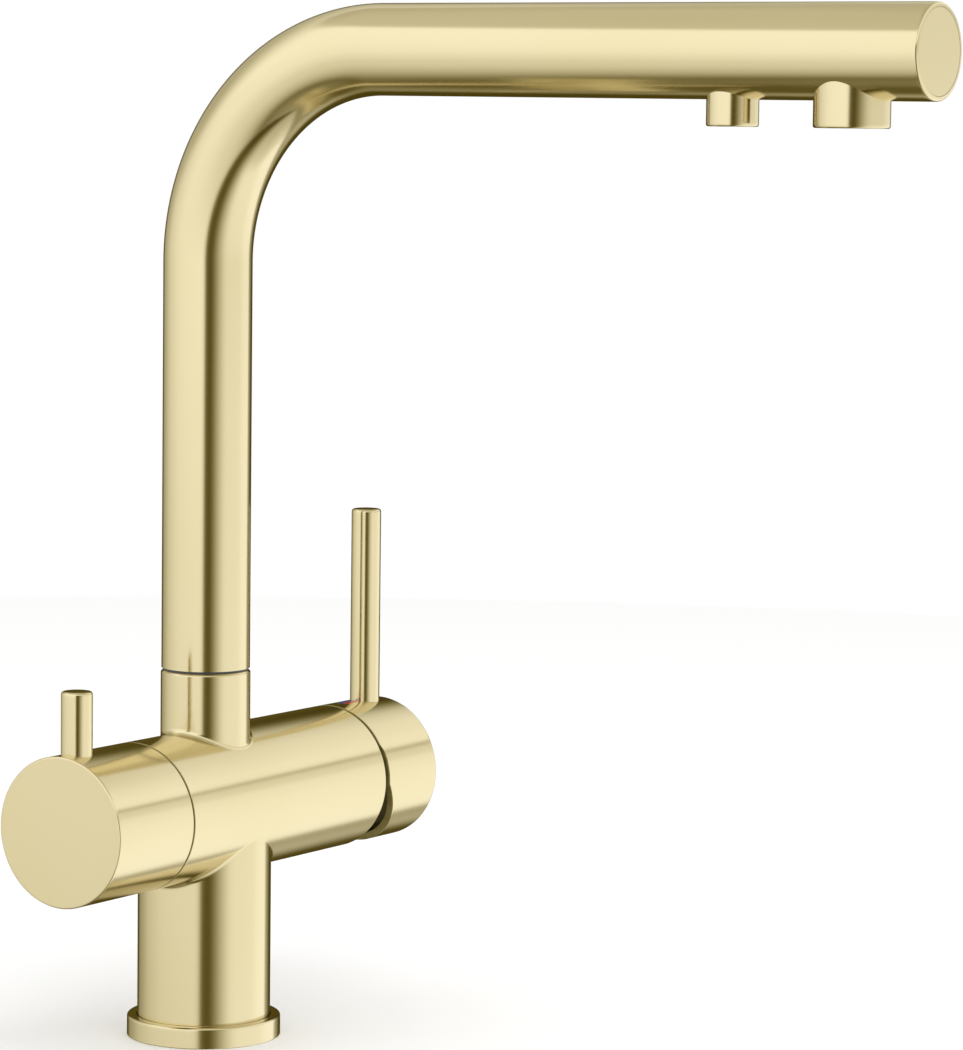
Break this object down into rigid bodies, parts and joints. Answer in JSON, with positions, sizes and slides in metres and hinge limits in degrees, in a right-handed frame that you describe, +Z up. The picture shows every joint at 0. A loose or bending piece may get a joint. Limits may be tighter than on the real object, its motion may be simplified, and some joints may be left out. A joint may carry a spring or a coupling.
{
  "type": "kitchen mixer tap",
  "caption": "Deck-mounted three way tap: swivel L spout with separate mixed and filtered nozzles, side mixer lever and quarter-turn filter lever on a cross body.",
  "frame": {"origin": "centre of the base flange's underside, on the worktop", "axes": "+Z up; the spout reaches along -Y towards the user; +X towards the mixer lever, -X towards the filter lever"},
  "size_m": [0.1822, 0.3003, 0.4076],
  "materials": {
    "brushed_gold": "brushed pale gold, satin",
    "bare_brass": "machined brass",
    "stainless_steel": "satin",
    "moulded_plastic": "moulded, matt",
    "ceramic": "lapped and polished",
    "rubber": "matt",
    "glide_plastic": "turned, satin",
    "tubing": "extruded, milky",
    "red_enamel": "enamel",
    "blue_enamel": "enamel"
  },
  "bodies": {
    "root": {"tap_body": "brushed_gold", "inlet_block": "bare_brass", "base_flange": "brushed_gold", "base_gasket": "rubber", "mounting_shank": "bare_brass", "rubber_washer": "rubber", "steel_washer": "stainless_steel", "back_nut": "bare_brass", "spout_keeper_screw": "stainless_steel", "glide_washer": "glide_plastic", "cartridge_seals": "rubber", "cartridge_base": "moulded_plastic", "cartridge_housing": "moulded_plastic", "mixer_fixed_disc": "ceramic", "cartridge_nut": "bare_brass", "filter_valve_body": "bare_brass", "filter_seat_seal": "rubber", "filter_fixed_disc": "ceramic"},
    "mixer_rotor": {"cartridge_rotor": "moulded_plastic", "rotor_o_ring": "rubber", "pivot_pin": "stainless_steel"},
    "mixer_disc": {"mixer_moving_disc": "ceramic", "disc_carrier": "moulded_plastic"},
    "mixer_handle": {"mixer_stem": "stainless_steel", "mixer_cap": "brushed_gold", "mixer_lever": "brushed_gold", "mixer_grub_screw": "stainless_steel", "hot_mark": "red_enamel", "cold_mark": "blue_enamel"},
    "filter_handle": {"filter_moving_disc": "ceramic", "filter_spindle": "bare_brass", "spindle_o_ring": "rubber", "filter_knob": "brushed_gold", "filter_lever": "brushed_gold", "filter_grub_screw": "stainless_steel"},
    "spout": {"spout_tube": "brushed_gold", "spout_end_cap": "brushed_gold", "spout_bush": "moulded_plastic", "spout_o_rings": "rubber", "bush_glide_ring": "glide_plastic", "mixed_nozzle": "brushed_gold", "aerator_body": "moulded_plastic", "aerator_screen": "stainless_steel", "aerator_seal": "rubber", "filter_nozzle": "brushed_gold", "flow_straightener": "moulded_plastic", "filter_elbow": "moulded_plastic", "filter_water_tube": "tubing", "filter_tube_plug": "moulded_plastic", "plug_o_ring": "rubber"}
  },
  "joints": [
    {"name": "spout_swivel", "type": "hinge", "parent": "root", "child": "spout", "pos_m": [0, 0, 0.1255], "axis": [0, 0, 1], "continuous": true},
    {"name": "filter_turn", "type": "hinge", "parent": "root", "child": "filter_handle", "pos_m": [-0.0385, 0, 0.0798], "axis": [1, 0, 0], "range_deg": [0, 90]},
    {"name": "mixer_turn", "type": "hinge", "parent": "root", "child": "mixer_rotor", "pos_m": [0.0725, 0, 0.0798], "axis": [1, 0, 0], "range_deg": [-50, 50]},
    {"name": "mixer_tilt", "type": "hinge", "parent": "mixer_rotor", "child": "mixer_handle", "pos_m": [0.06985, 0, 0.0798], "axis": [0, 1, 0], "range_deg": [0, 25]},
    {"name": "mixer_disc_slide", "type": "slide", "parent": "mixer_rotor", "child": "mixer_disc", "axis": [0, 0, 1], "range_m": [0, 0.00634]}
  ],
  "couplings": [
    {"joint": "mixer_disc_slide", "follows": "mixer_tilt", "m_per_rad": 0.014529}
  ]
}
